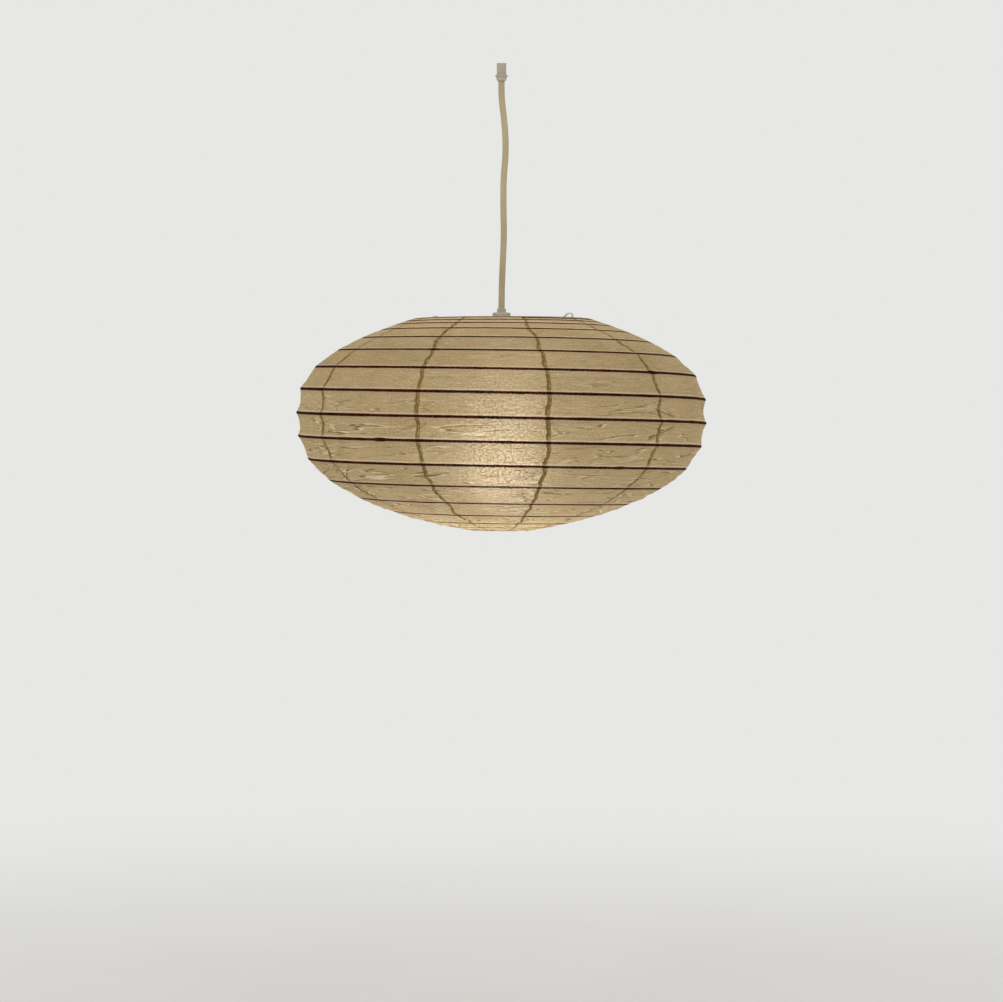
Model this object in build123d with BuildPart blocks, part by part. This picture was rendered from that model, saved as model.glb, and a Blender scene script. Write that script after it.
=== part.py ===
"""Paper pendant lantern: a saucer-shaped shade of paper gores on one spiral of split
bamboo, held open by a wire expander on an E27 lampholder, hung on flat flex from a gland.

Millimetres, +Z up. The origin is on the ceiling plane, where the flex leaves the gland,
and the lantern hangs along -Z. The front of the lantern faces -Y.
"""

from build123d import *
import math
import os

os.makedirs("parts", exist_ok=True)

# ---------------------------------------------------------------- shade, outer form
SHADE_R = 210.0            # widest radius, over the ribs
TOP_RIM_R = 89.0           # radius of the paper's top edge
TOP_RIM_DROP = 6.1         # top edge below the top of the lampholder's neck
BOTTOM_RIM_R = 25.0        # radius of the paper's bottom edge
SHADE_RISE = 98.0          # widest ring up to the top edge
SHADE_DROP = 119.0         # widest ring down to the bottom edge
UPPER_FULLNESS = 2.6       # higher is boxier above the widest ring
LOWER_FULLNESS = 2.6
LOWER_SHOULDER = 1.27      # 1 ends the lower half in a cone, more rounds it in
PAPER_T = 0.25
GORES = 10
CELLS = 3                  # flat cells across one gore
FIRST_SEAM = -77.9         # degrees from +X of the first seam
BOW = 0.16                 # how far the paper draws in between ribs, per rib spacing
BOW_FADE = 4               # higher keeps that to where the paper stands upright
STRAIGHT_BANDS = 3         # rib spacings next to each rim with no room to draw in

# ---------------------------------------------------------------- bamboo spiral
RIB_TURNS = 17
RIB_JOINT_TURNS = [
    1.4, 2.4, 3.5, 4.9, 6.1, 7.47, 8.87, 10.07, 10.97, 12.4, 13.4, 14.4, 15.4, 16.3,
]
RIB_H = 1.8                # width of the strip's flat side
RIB_T = 1.6                # flat side to the skin side, which fills the paper's ridge
RIB_GAP = 0.2              # glue line under the paper's ridge
RIB_HEM = 6.0              # plain paper left beyond the first and the last turn
RIB_EASE = 1.09            # turns lie closer at the top than at the bottom
RIB_CROWD = 0.366          # 0 spaces the turns evenly, more closes them up at both rims
RIB_PINCH = 0.317          # and this round the widest ring as well
RIB_SLIP = 0.0186          # share of the paper by which the middle turns slip down

# ---------------------------------------------------------------- end rings and expander
RING_WIRE_R = 1.2
WIRE_R = 1.0
WIRE_GAP = 0.1             # between two wires that bear on each other
PAPER_GAP = 0.2            # between an end ring and the paper's hem
EXPANDER_ANGLE = -35.0     # degrees from +X of the first expander wire
LEG_R = 42.0               # radius at which the legs pass the bulb
LEG_TOP_DROP = 12.0        # legs run straight this far below the holder ring
LEG_FLARE_DROP = 26.0      # and flare out to LEG_R over this height
HOOK_HUMP = 6.0            # level run of the hook over the mouth
HOOK_RISE = 3.4            # and its height over the paper's top edge
HOOK_TIP = 1.5             # how far the hook reaches past the top ring
FOOT_SLOPE = 35.0          # degrees below level at which a leg runs in to its foot
FOOT_TIP = 1.0
EXPANDER_RING_W = 7.2      # from its bore to its rim
EXPANDER_RING_T = 1.5

# ---------------------------------------------------------------- lampholder, size E27
NECK_R = 9.2
NECK_H = 13.7
SHOULDER_H = 7.0
SKIRT_H = 21.0
BARREL_R = 19.5            # threaded barrel for the shade ring
BARREL_H = 34.0
FLANGE_W = 3.0             # reach past the barrel
FLANGE_T = 2.5
HOLDER_FLOOR = 4.0
SOCKET_R = 14.0
SHELL_T = 0.4
SHELL_H = 23.0
THREAD_CLEARANCE = 0.05    # radial, at each screwed fit
CONTACT_R = 6.0
CONTACT_T = 1.5
WASHER_T = 1.0
WASHER_W = 5.2
RING_FIT = 0.3             # loose radial fit of the washer and the expander ring
SHADE_RING_LIP_W = 6.5
SHADE_RING_H = 9.0
SHADE_RING_LIP_H = 3.0
SHADE_RING_SKIRT_W = 3.5
GRIP_NOTCHES = 12          # finger notches round the shade ring's lip
GRIP_NOTCH_R = 1.2

# ---------------------------------------------------------------- bulb, pear shape, E27
BULB_R = 30.0
BULB_LENGTH = 108.5        # contact tip to the end of the glass
BULB_TIP_R = 4.5
BULB_TIP_H = 2.0
BULB_INSULATOR_R = 11.0
BULB_INSULATOR_H = 4.5
BULB_CAP_H = 22.0
BULB_NECK_R = 12.8
BULB_NECK_H = 12.0         # near-straight glass neck below the cap
BULB_WAIST_R = 14.0        # where the neck ends
BULB_END_R = 4.0           # flat facet at the very end
GLOBE_TOP_ANGLE = 50.0     # degrees above level at which the globe leaves the neck
GLOBE_RINGS = 7            # rings of flat facets round the globe

# ---------------------------------------------------------------- flex and its fittings
CORD_DROP = 238.2          # ceiling to the top of the cord grip
FLEX_W = 6.4
FLEX_T = 4.0
FLEX_CORNER = 1.2
FLEX_FIT = 0.1             # flex to the pieces that it passes through
GRIP_R = 4.6
GRIP_H = 4.1
GRIP_TAIL_R = 4.3
GRIP_TAIL_H = 8.0
GRIP_BORE_H = 9.7          # bore in the lampholder's neck, where the flex ends
GLAND_STUB_R = 5.0
GLAND_STUB_H = 12.0
GLAND_BORE_R = 4.1
GLAND_FLANGE_R = 6.5
GLAND_FLANGE_T = 1.5
GLAND_CAP_R = 5.6
GLAND_NOSE_R = 4.4
GLAND_CAP_H = 4.5
BUSH_H = 9.0

# ---------------------------------------------------------------- lightness of the model
SIDES = 24                 # turned pieces are prisms of this many sides
WIRE_SIDES = 6

# the flex hangs a little wavy: each point is (across, height), across towards +X
FLEX_ROUTE = [
    (0.0, -24.0),
    (3.4, -50.0),
    (4.6, -78.0),
    (2.0, -106.0),
    (1.9, -134.0),
    (2.6, -162.0),
    (1.4, -190.0),
    (0.0, -222.0),
    (0.0, -252.0),
]

# ---------------------------------------------------------------- heights that follow
gland_bottom = -GLAND_FLANGE_T - GLAND_CAP_H
bend_x_z = gland_bottom - FLEX_FIT - FLEX_T / 2
grip_top = -CORD_DROP
neck_top = grip_top - GRIP_H
shoulder_top = neck_top - NECK_H
skirt_top = shoulder_top - SHOULDER_H
flange_top = skirt_top - SKIRT_H
flange_bottom = flange_top - FLANGE_T
floor_bottom = flange_top - HOLDER_FLOOR
barrel_bottom = flange_top - BARREL_H
expander_ring_r = BARREL_R + RING_FIT + EXPANDER_RING_W
washer_bottom = flange_bottom - WASHER_T
expander_ring_bottom = washer_bottom - EXPANDER_RING_T
bulb_top = floor_bottom - CONTACT_T
bulb_cap_top = bulb_top - BULB_TIP_H - BULB_INSULATOR_H
bulb_cap_bottom = bulb_cap_top - BULB_CAP_H
globe_z = bulb_top - BULB_LENGTH + BULB_R
shade_top = neck_top - TOP_RIM_DROP
widest_z = shade_top - SHADE_RISE

pieces = {}


def keep(name, piece):
    """Label one finished piece and list it for export."""
    piece.part.label = name
    pieces[name] = piece


# ---------------------------------------------------------------- the shade's meridian
def shade_radius(z):
    """Radius over the ribs at height z."""
    if z >= widest_z:
        rise = min((z - widest_z) / SHADE_RISE, 1.0)
        return TOP_RIM_R + (SHADE_R - TOP_RIM_R) * (1 - rise**UPPER_FULLNESS)
    drop = min((widest_z - z) / SHADE_DROP, 1.0)
    fullness = (1 - drop**LOWER_FULLNESS) ** (1 / LOWER_SHOULDER)
    return BOTTOM_RIM_R + (SHADE_R - BOTTOM_RIM_R) * fullness


def meridian():
    """Points (distance along the paper, radius, height) from the top edge to the bottom."""
    half_steps = 200
    heights = [
        widest_z + SHADE_RISE * math.cos(math.pi / 2 * i / half_steps)
        for i in range(half_steps)
    ]
    heights += [
        widest_z - SHADE_DROP * math.sin(math.pi / 2 * i / half_steps)
        for i in range(half_steps + 1)
    ]
    points = []
    along = 0.0
    for z in heights:
        r = shade_radius(z)
        if points:
            along += math.hypot(r - points[-1][1], z - points[-1][2])
        points.append((along, r, z))
    return points


MERIDIAN = meridian()
PAPER_LENGTH = MERIDIAN[-1][0]


def along_paper(s):
    """(radius, height) at distance s along the meridian, run on straight past its ends."""
    before = MERIDIAN[0]
    for after in MERIDIAN[1:]:
        if s <= after[0] or after is MERIDIAN[-1]:
            share = (s - before[0]) / (after[0] - before[0])
            r = before[1] + share * (after[1] - before[1])
            return r, before[2] + share * (after[2] - before[2])
        before = after


def inside_paper(s, depth):
    """(radius, height) at distance s along the meridian and depth into the shade."""
    step = 1.0
    r0, z0 = along_paper(max(s - step, 0.0))
    r1, z1 = along_paper(min(s + step, PAPER_LENGTH))
    run = math.hypot(r1 - r0, z1 - z0)
    r, z = along_paper(s)
    return r + depth * (z1 - z0) / run, z - depth * (r1 - r0) / run


def steepness(s):
    """1 where the paper stands upright, 0 where it lies level."""
    r0, z0 = along_paper(s - 1.0)
    r1, z1 = along_paper(s + 1.0)
    return (z0 - z1) / math.hypot(r1 - r0, z1 - z0)


def rib_place(turn):
    """Distance along the meridian of the bamboo after this many turns."""
    share = min(turn / RIB_TURNS, 1.0) ** RIB_EASE
    x = math.pi * share
    crowd = RIB_CROWD * math.sin(2 * x) / (2 * math.pi)
    pinch = RIB_PINCH * math.sin(4 * x) / (4 * math.pi)
    slip = RIB_SLIP * math.sin(3 * x) * math.sin(x)
    return RIB_HEM + (PAPER_LENGTH - 2 * RIB_HEM) * (share - crowd - pinch + slip)


def meridian_plane(turn):
    """Upright plane through the axis, this many turns on from the first seam."""
    angle = math.radians(FIRST_SEAM + 360 * turn)
    return Plane(
        origin=(0, 0, 0),
        x_dir=(math.cos(angle), math.sin(angle), 0),
        z_dir=(math.sin(angle), -math.cos(angle), 0),
    )


def paper_section(turn):
    """Outline of the paper in the meridian plane: ridges on the bamboo, drawn in between."""
    ridges = [0.0] + [rib_place(k + turn) for k in range(RIB_TURNS)] + [PAPER_LENGTH]
    line = [(ridge, 0.0) for ridge in ridges]
    bowed = slice(STRAIGHT_BANDS, len(ridges) - STRAIGHT_BANDS)
    for upper, lower in zip(ridges[bowed], ridges[bowed][1:]):
        middle = (upper + lower) / 2
        line.append((middle, BOW * (lower - upper) * steepness(middle) ** BOW_FADE))
    line.sort()
    outside = [inside_paper(s, depth) for s, depth in line]
    inside = [inside_paper(s, depth + PAPER_T) for s, depth in line]
    return outside + inside[::-1]


def rib_section(turn):
    """Outline of the split bamboo in the meridian plane, skin side in the paper's ridge."""
    ridge = rib_place(turn)
    skin = PAPER_T + RIB_GAP
    corners = [(0, skin), (RIB_H / 2, skin + RIB_T), (-RIB_H / 2, skin + RIB_T)]
    return [inside_paper(ridge + down, depth) for down, depth in corners]


def in_space(turn, outline):
    """Points of a meridian outline, in space."""
    plane = meridian_plane(turn)
    return [plane.from_local_coords(Vector(r, z, 0)) for r, z in outline]


def flat_facets(outlines):
    """Closed solid of flat triangles between outlines that follow one another."""
    faces = []
    if outlines[0] != outlines[-1]:
        faces += [Face(Wire.make_polygon(outlines[0])), Face(Wire.make_polygon(outlines[-1]))]
    for here, there in zip(outlines, outlines[1:]):
        for i in range(len(here)):
            a, b, c, d = here[i - 1], here[i], there[i], there[i - 1]
            faces.append(Face(Wire.make_polygon([a, b, c])))
            faces.append(Face(Wire.make_polygon([a, c, d])))
    return Solid(Shell(faces))


def turned(profile):
    """Solid of flat facets round the axis through the (radius, height) corners."""
    ring = [2 * math.pi * side / SIDES for side in range(SIDES)]
    return flat_facets(
        [[Vector(r * math.cos(a), r * math.sin(a), z) for a in ring] for r, z in profile]
    )


# ---------------------------------------------------------------- paper gores
for gore_number in range(GORES):
    turns = [(gore_number + cell / CELLS) / GORES for cell in range(CELLS + 1)]
    with BuildPart() as gore:
        add(flat_facets([in_space(turn, paper_section(turn)) for turn in turns]))
    keep(f"paper_gore_{gore_number + 1:02d}", gore)

# ---------------------------------------------------------------- bamboo strips of the spiral
joint_cells = [round(joint * GORES * CELLS) for joint in (0, *RIB_JOINT_TURNS, RIB_TURNS)]
for strip_number, first_cell in enumerate(joint_cells[:-1]):
    last_cell = joint_cells[strip_number + 1]
    turns = [cell / (GORES * CELLS) for cell in range(first_cell, last_cell + 1)]
    with BuildPart() as strip:
        add(flat_facets([in_space(turn, rib_section(turn)) for turn in turns]))
    keep(f"bamboo_strip_{strip_number + 1:02d}", strip)

# ---------------------------------------------------------------- end rings
def ring_centre(edge, ridge):
    """(radius, height) of the wire lying in the paper's hem, from the edge to its rib."""
    r0, z0 = inside_paper(edge, 0)
    r1, z1 = inside_paper(ridge, 0)
    run = math.hypot(r1 - r0, z1 - z0)
    inward = (PAPER_T + PAPER_GAP + RING_WIRE_R) * math.copysign(1, ridge - edge)
    r = r0 + (RING_WIRE_R * (r1 - r0) + inward * (z1 - z0)) / run
    return r, z0 + (RING_WIRE_R * (z1 - z0) - inward * (r1 - r0)) / run


def bent_hoop(r, z):
    """Wire hoop with a bend at each fold of the paper."""
    section = [
        (
            r + RING_WIRE_R * math.cos(2 * math.pi * side / WIRE_SIDES),
            z + RING_WIRE_R * math.sin(2 * math.pi * side / WIRE_SIDES),
        )
        for side in range(WIRE_SIDES)
    ]
    bends = [cell / (GORES * CELLS) for cell in range(GORES * CELLS)]
    with BuildPart() as hoop:
        add(flat_facets([in_space(turn, section) for turn in bends + bends[:1]]))
    return hoop


top_ring_r, top_ring_z = ring_centre(0, rib_place(1))
bottom_ring_r, bottom_ring_z = ring_centre(PAPER_LENGTH, rib_place(RIB_TURNS - 1))
keep("top_ring", bent_hoop(top_ring_r, top_ring_z))
keep("bottom_ring", bent_hoop(bottom_ring_r, bottom_ring_z))

# ---------------------------------------------------------------- wire expander
bend_r = RING_WIRE_R + WIRE_GAP + WIRE_R         # bend that hugs an end ring
flat = math.cos(math.pi / (GORES * CELLS))        # a ring's radius midway between folds
hook_r = top_ring_r * flat - bend_r
hook_low = top_ring_z - bend_r
hook_high = shade_top + HOOK_RISE
weld_r = expander_ring_r + WIRE_R
foot_r = bottom_ring_r * flat - bend_r
foot_turn = math.radians(90 - FOOT_SLOPE)
foot_z = bottom_ring_z + bend_r * math.tan(foot_turn / 2)
leg_bottom = foot_z + (LEG_R - foot_r) * math.tan(math.radians(FOOT_SLOPE))
leg_straight_z = expander_ring_bottom - LEG_TOP_DROP
leg_flare_z = leg_straight_z - LEG_FLARE_DROP

expander_points = [
    (top_ring_r + HOOK_TIP, hook_low),
    (hook_r, hook_low),
    (hook_r, hook_high),
    (hook_r - HOOK_HUMP, hook_high),
    (weld_r, washer_bottom),
    (weld_r, leg_straight_z),
    (LEG_R, leg_flare_z),
    (LEG_R, leg_bottom),
    (foot_r, foot_z),
    (foot_r, bottom_ring_z - FOOT_TIP),
]
soft_bend = 4 * WIRE_R
expander_bends = [bend_r, bend_r] + [soft_bend] * 5 + [bend_r]

for wire_number, angle in enumerate((EXPANDER_ANGLE, EXPANDER_ANGLE + 180), start=1):
    turn = (angle - FIRST_SEAM) / 360
    with BuildPart() as wire:
        with BuildLine(meridian_plane(turn)) as wire_path:
            FilletPolyline(*expander_points, radius=expander_bends)
        with BuildSketch(Plane(origin=wire_path.line @ 0, z_dir=wire_path.line % 0)):
            RegularPolygon(WIRE_R, WIRE_SIDES)
        sweep(path=wire_path.line)
    keep(f"expander_wire_{wire_number}", wire)

with BuildPart() as expander_ring:
    with BuildSketch(Plane.XY.offset(expander_ring_bottom)):
        RegularPolygon(expander_ring_r, SIDES)
        RegularPolygon(BARREL_R + RING_FIT, SIDES, major_radius=False, mode=Mode.SUBTRACT)
    extrude(amount=EXPANDER_RING_T)
keep("expander_ring", expander_ring)

# ---------------------------------------------------------------- lampholder
with BuildPart() as holder_cap:
    add(
        turned(
            [
                (NECK_R, neck_top),
                (NECK_R, shoulder_top),
                (BARREL_R, skirt_top),
                (BARREL_R, flange_top),
            ]
        )
    )
    with BuildSketch(Plane.XY.offset(neck_top)):
        RegularPolygon(GRIP_TAIL_R + THREAD_CLEARANCE, SIDES)
    extrude(amount=-GRIP_BORE_H, mode=Mode.SUBTRACT)
keep("holder_cap", holder_cap)

with BuildPart() as holder_body:
    with BuildSketch(Plane.XY.offset(flange_top)):
        RegularPolygon(BARREL_R + FLANGE_W, SIDES)
    extrude(amount=-FLANGE_T)
    with BuildSketch(Plane.XY.offset(flange_top)):
        RegularPolygon(BARREL_R, SIDES)
    extrude(amount=-BARREL_H)
    with BuildSketch(Plane.XY.offset(floor_bottom)):
        RegularPolygon(SOCKET_R, SIDES, major_radius=False)
    extrude(amount=barrel_bottom - floor_bottom, mode=Mode.SUBTRACT)
keep("holder_body", holder_body)

shell_r = SOCKET_R - THREAD_CLEARANCE        # across the shell's corners
shell_bore_r = shell_r * math.cos(math.pi / SIDES) - SHELL_T
with BuildPart() as screw_shell:
    with BuildSketch(Plane.XY.offset(floor_bottom)):
        RegularPolygon(shell_r, SIDES)
        RegularPolygon(shell_bore_r, SIDES, major_radius=False, mode=Mode.SUBTRACT)
    extrude(amount=-SHELL_H)
keep("screw_shell", screw_shell)

with BuildPart() as centre_contact:
    with BuildSketch(Plane.XY.offset(floor_bottom)):
        RegularPolygon(CONTACT_R, SIDES)
    extrude(amount=-CONTACT_T)
keep("centre_contact", centre_contact)

with BuildPart() as shade_washer:
    with BuildSketch(Plane.XY.offset(washer_bottom)):
        RegularPolygon(BARREL_R + RING_FIT + WASHER_W, SIDES)
        RegularPolygon(BARREL_R + RING_FIT, SIDES, major_radius=False, mode=Mode.SUBTRACT)
    extrude(amount=WASHER_T)
keep("shade_washer", shade_washer)

with BuildPart() as shade_ring:
    with BuildSketch(Plane.XY.offset(expander_ring_bottom)):
        RegularPolygon(BARREL_R + SHADE_RING_LIP_W, SIDES)
        with PolarLocations(BARREL_R + SHADE_RING_LIP_W, GRIP_NOTCHES):
            RegularPolygon(GRIP_NOTCH_R, 4, mode=Mode.SUBTRACT)
    extrude(amount=-SHADE_RING_LIP_H)
    with BuildSketch(Plane.XY.offset(expander_ring_bottom)):
        RegularPolygon(BARREL_R + SHADE_RING_SKIRT_W, SIDES)
    extrude(amount=-SHADE_RING_H)
    with BuildSketch(Plane.XY.offset(expander_ring_bottom)):
        RegularPolygon(BARREL_R + THREAD_CLEARANCE, SIDES, major_radius=False)
    extrude(amount=-SHADE_RING_H, mode=Mode.SUBTRACT)
keep("shade_ring", shade_ring)

# ---------------------------------------------------------------- bulb
with BuildPart() as bulb_tip:
    with BuildSketch(Plane.XY.offset(bulb_top)):
        RegularPolygon(BULB_TIP_R, SIDES)
    extrude(amount=-BULB_TIP_H)
keep("bulb_tip", bulb_tip)

with BuildPart() as bulb_insulator:
    add(turned([(BULB_TIP_R, bulb_top - BULB_TIP_H), (BULB_INSULATOR_R, bulb_cap_top)]))
keep("bulb_insulator", bulb_insulator)

with BuildPart() as bulb_cap:
    with BuildSketch(Plane.XY.offset(bulb_cap_top)):
        RegularPolygon(shell_bore_r - THREAD_CLEARANCE, SIDES)
    extrude(amount=-BULB_CAP_H)
keep("bulb_cap", bulb_cap)

globe = []
for ring in range(GLOBE_RINGS):
    rise = math.radians(GLOBE_TOP_ANGLE - (GLOBE_TOP_ANGLE + 90) * ring / GLOBE_RINGS)
    globe.append((BULB_R * math.cos(rise), globe_z + BULB_R * math.sin(rise)))

with BuildPart() as bulb_glass:
    add(
        turned(
            [
                (BULB_NECK_R, bulb_cap_bottom),
                (BULB_WAIST_R, bulb_cap_bottom - BULB_NECK_H),
                *globe,
                (BULB_END_R, globe_z - BULB_R),
            ]
        )
    )
keep("bulb_glass", bulb_glass)

# ---------------------------------------------------------------- section of the flat flex
def flat_oval(width, thickness):
    """Flat section with its two narrow sides rounded by cut corners."""
    with BuildSketch() as section:
        Rectangle(width, thickness)
        chamfer(section.vertices(), FLEX_CORNER)
    return section.sketch


flex_section = flat_oval(FLEX_W, FLEX_T)
flex_hole = flat_oval(FLEX_W + 2 * FLEX_FIT, FLEX_T + 2 * FLEX_FIT)

# ---------------------------------------------------------------- ceiling gland
with BuildPart() as gland_body:
    with BuildSketch(Plane.XY):
        Circle(GLAND_STUB_R)
    extrude(amount=GLAND_STUB_H)
    with BuildSketch(Plane.XY):
        RegularPolygon(GLAND_FLANGE_R, SIDES)
    extrude(amount=-GLAND_FLANGE_T)
    with BuildSketch(Plane.XY.offset(GLAND_STUB_H)):
        RegularPolygon(GLAND_BORE_R, SIDES, major_radius=False)
    extrude(amount=-GLAND_STUB_H - GLAND_FLANGE_T, mode=Mode.SUBTRACT)
keep("gland_body", gland_body)

with BuildPart() as gland_bush:
    with BuildSketch(Plane.XY.offset(GLAND_STUB_H)):
        RegularPolygon(GLAND_BORE_R - THREAD_CLEARANCE, SIDES)
        add(flex_hole, mode=Mode.SUBTRACT)
    extrude(amount=-BUSH_H)
keep("gland_bush", gland_bush)

with BuildPart() as gland_cap:
    add(turned([(GLAND_CAP_R, -GLAND_FLANGE_T), (GLAND_NOSE_R, gland_bottom)]))
    with BuildSketch(Plane.XY.offset(-GLAND_FLANGE_T)):
        add(flex_hole)
    extrude(amount=-GLAND_CAP_H, mode=Mode.SUBTRACT)
keep("gland_cap", gland_cap)

# ---------------------------------------------------------------- cord grip on the lampholder
with BuildPart() as cord_grip:
    with BuildSketch(Plane.XY.offset(grip_top)):
        RegularPolygon(GRIP_R, SIDES)
    extrude(amount=-GRIP_H)
    with BuildSketch(Plane.XY.offset(neck_top)):
        RegularPolygon(GRIP_TAIL_R, SIDES)
    extrude(amount=-GRIP_TAIL_H)
    with BuildSketch(Plane.XY.offset(grip_top)):
        add(flex_hole)
    extrude(amount=-GRIP_H - GRIP_TAIL_H, mode=Mode.SUBTRACT)
keep("cord_grip", cord_grip)


# ---------------------------------------------------------------- flex
def bend_radii(points):
    """Largest bend that the two runs at each corner leave room for."""
    radii = []
    for a, b, c in zip(points, points[1:], points[2:]):
        before = Vector(b[0] - a[0], b[1] - a[1])
        after = Vector(c[0] - b[0], c[1] - b[1])
        half_turn = math.radians(before.get_angle(after)) / 2
        radii.append(0.45 * min(before.length, after.length) / math.tan(half_turn))
    return radii


with BuildPart() as flex_fixed:
    with BuildSketch(Plane.XY.offset(GLAND_STUB_H)):
        add(flex_section)
    extrude(amount=gland_bottom - GLAND_STUB_H)
keep("flex_fixed", flex_fixed)

# the short stretch below the gland bends front to back about its own rounded top
bend_y_z = FLEX_ROUTE[0][1]
with BuildPart() as flex_bend:
    with BuildSketch(Plane.XY.offset(bend_x_z + FLEX_T / 2)):
        add(flex_section)
    extrude(amount=bend_y_z + FLEX_W / 2 + FLEX_FIT - bend_x_z - FLEX_T / 2)
    with BuildSketch(Plane.YZ):
        with Locations((0, bend_x_z)):
            Circle(FLEX_T / 2)
            Rectangle(FLEX_T, -bend_y_z, align=(Align.CENTER, Align.MAX))
    extrude(amount=FLEX_W / 2, both=True, mode=Mode.INTERSECT)
keep("flex_bend", flex_bend)

# the rest bends side to side about its rounded top, and runs down into the lampholder
route_radii = bend_radii(FLEX_ROUTE)
with BuildPart() as flex:
    with BuildLine(Plane.XZ) as flex_path:
        FilletPolyline(*FLEX_ROUTE, radius=route_radii)
    with BuildSketch(
        Plane(origin=flex_path.line @ 0, x_dir=(FLEX_W, 0, 0), z_dir=flex_path.line % 0)
    ):
        add(flex_section)
    sweep(path=flex_path.line)
    swept_volume = flex.part.volume
    with BuildSketch(Plane.XZ):
        with Locations(FLEX_ROUTE[0]):
            Circle(FLEX_W / 2)
    extrude(amount=FLEX_T / 2, both=True)
keep("flex", flex)

flex_length = flex_path.wire().length
print("flex bends, mm:", [round(r) for r in route_radii])
print("flex length, mm:", round(flex_length, 1))
print("flex volume over section x length:", swept_volume / (flex_section.area * flex_length))

for name, piece in pieces.items():
    export_step(piece.part, f"parts/{name}.step")
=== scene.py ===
import math
import bpy
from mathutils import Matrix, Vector, noise


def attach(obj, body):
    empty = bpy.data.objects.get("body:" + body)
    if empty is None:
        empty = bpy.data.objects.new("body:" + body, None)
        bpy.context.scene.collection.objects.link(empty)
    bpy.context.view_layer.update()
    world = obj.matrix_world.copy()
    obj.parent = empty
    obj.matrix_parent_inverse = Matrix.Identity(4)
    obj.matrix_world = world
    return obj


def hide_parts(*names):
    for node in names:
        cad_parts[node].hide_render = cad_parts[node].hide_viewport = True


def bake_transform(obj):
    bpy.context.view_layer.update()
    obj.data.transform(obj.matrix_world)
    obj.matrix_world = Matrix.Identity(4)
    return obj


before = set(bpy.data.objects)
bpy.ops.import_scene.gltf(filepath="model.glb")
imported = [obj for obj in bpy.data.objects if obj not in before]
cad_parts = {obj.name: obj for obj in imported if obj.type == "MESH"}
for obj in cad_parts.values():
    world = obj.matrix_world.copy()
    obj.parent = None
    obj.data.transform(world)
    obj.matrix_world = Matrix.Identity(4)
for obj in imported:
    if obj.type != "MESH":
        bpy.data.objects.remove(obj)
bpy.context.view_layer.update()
MM = 0.001

# ================================================================ sizes, in mm
SHADE_R, TOP_RIM_R, BOTTOM_RIM_R = 210.0, 89.0, 25.0
SHADE_RISE, SHADE_DROP = 98.0, 119.0
UPPER_FULLNESS, LOWER_FULLNESS, LOWER_SHOULDER = 2.6, 2.6, 1.27
PAPER_T, GORES, FIRST_SEAM = 0.25, 10, -77.9
RIB_TURNS, RIB_HEM, RIB_EASE = 17, 6.0, 1.09
RIB_CROWD, RIB_PINCH, RIB_SLIP = 0.366, 0.317, 0.0186
RIB_JOINT_TURNS = [1.4, 2.4, 3.5, 4.9, 6.1, 7.47, 8.87, 10.07, 10.97, 12.4, 13.4, 14.4,
                   15.4, 16.3]
SPLICES = [round(turn * 30) / 30 for turn in (0, *RIB_JOINT_TURNS, RIB_TURNS)]
TOP_RIM_DROP = 6.1                  # top edge of the paper below the holder's neck
RING_WIRE_R, PAPER_GAP = 1.2, 0.2
WIRE_R, WIRE_GAP = 1.0, 0.1
LEG_R, LEG_TOP_DROP, LEG_FLARE_DROP = 42.0, 12.0, 26.0
HOOK_TIP, HOOK_RISE, HOOK_HUMP = 1.5, 3.4, 6.0
FOOT_SLOPE, FOOT_TIP = 35.0, 1.0    # the slope in degrees
NECK_R, NECK_BORE_R, NECK_H = 9.2, 4.4, 13.7
SHOULDER_H, SKIRT_H = 7.0, 21.0
BARREL_R, BARREL_H, HOLDER_FLOOR, SOCKET_R = 19.5, 34.0, 4.0, 14.0
FLANGE_R, FLANGE_T = 22.5, 2.5
SEAT_RING_BORE_R = 19.9             # bore of the washer and of the expander's ring
WASHER_R, WASHER_T = 25.0, 1.0
EXPANDER_RING_R, EXPANDER_RING_T = 27.0, 1.5
SHADE_RING_BORE_R, SHADE_RING_LIP_R, SHADE_RING_SKIRT_R = 19.6, 26.0, 23.0
SHADE_RING_H, SHADE_RING_LIP_H = 9.0, 3.0
CONTACT_T = 1.5
BULB_R, BULB_LENGTH, BULB_FOOT_H, BULB_CAP_H = 30.0, 108.5, 6.5, 22.0
CORD_DROP = 238.2                   # ceiling to the top of the cord grip
GRIP_R, GRIP_H, GRIP_TAIL_R, GRIP_TAIL_H, GRIP_BORE_R = 4.6, 4.1, 4.3, 8.0, 3.4
FLEX_W, FLEX_T = 6.4, 4.0
GLAND_STUB_R, GLAND_STUB_H, GLAND_BORE_R = 5.0, 12.0, 4.15
GLAND_FLANGE_R, GLAND_FLANGE_T = 6.5, 1.5
GLAND_CAP_R, GLAND_CAP_H, GLAND_CAP_BORE_R, GLAND_NOSE_R = 5.6, 4.5, 3.45, 4.4

neck_top = -CORD_DROP - GRIP_H
shade_top = neck_top - TOP_RIM_DROP
widest_z = shade_top - SHADE_RISE
shoulder_top = neck_top - NECK_H
skirt_top = shoulder_top - SHOULDER_H
flange_top = skirt_top - SKIRT_H
flange_bottom = flange_top - FLANGE_T
barrel_bottom = flange_top - BARREL_H
floor_bottom = flange_top - HOLDER_FLOOR
washer_bottom = flange_bottom - WASHER_T
expander_ring_bottom = washer_bottom - EXPANDER_RING_T
bulb_top = floor_bottom - CONTACT_T
cap_top = bulb_top - BULB_FOOT_H
cap_bottom = cap_top - BULB_CAP_H
globe_z = bulb_top - BULB_LENGTH + BULB_R
gland_bottom = -GLAND_FLANGE_T - GLAND_CAP_H


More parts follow.
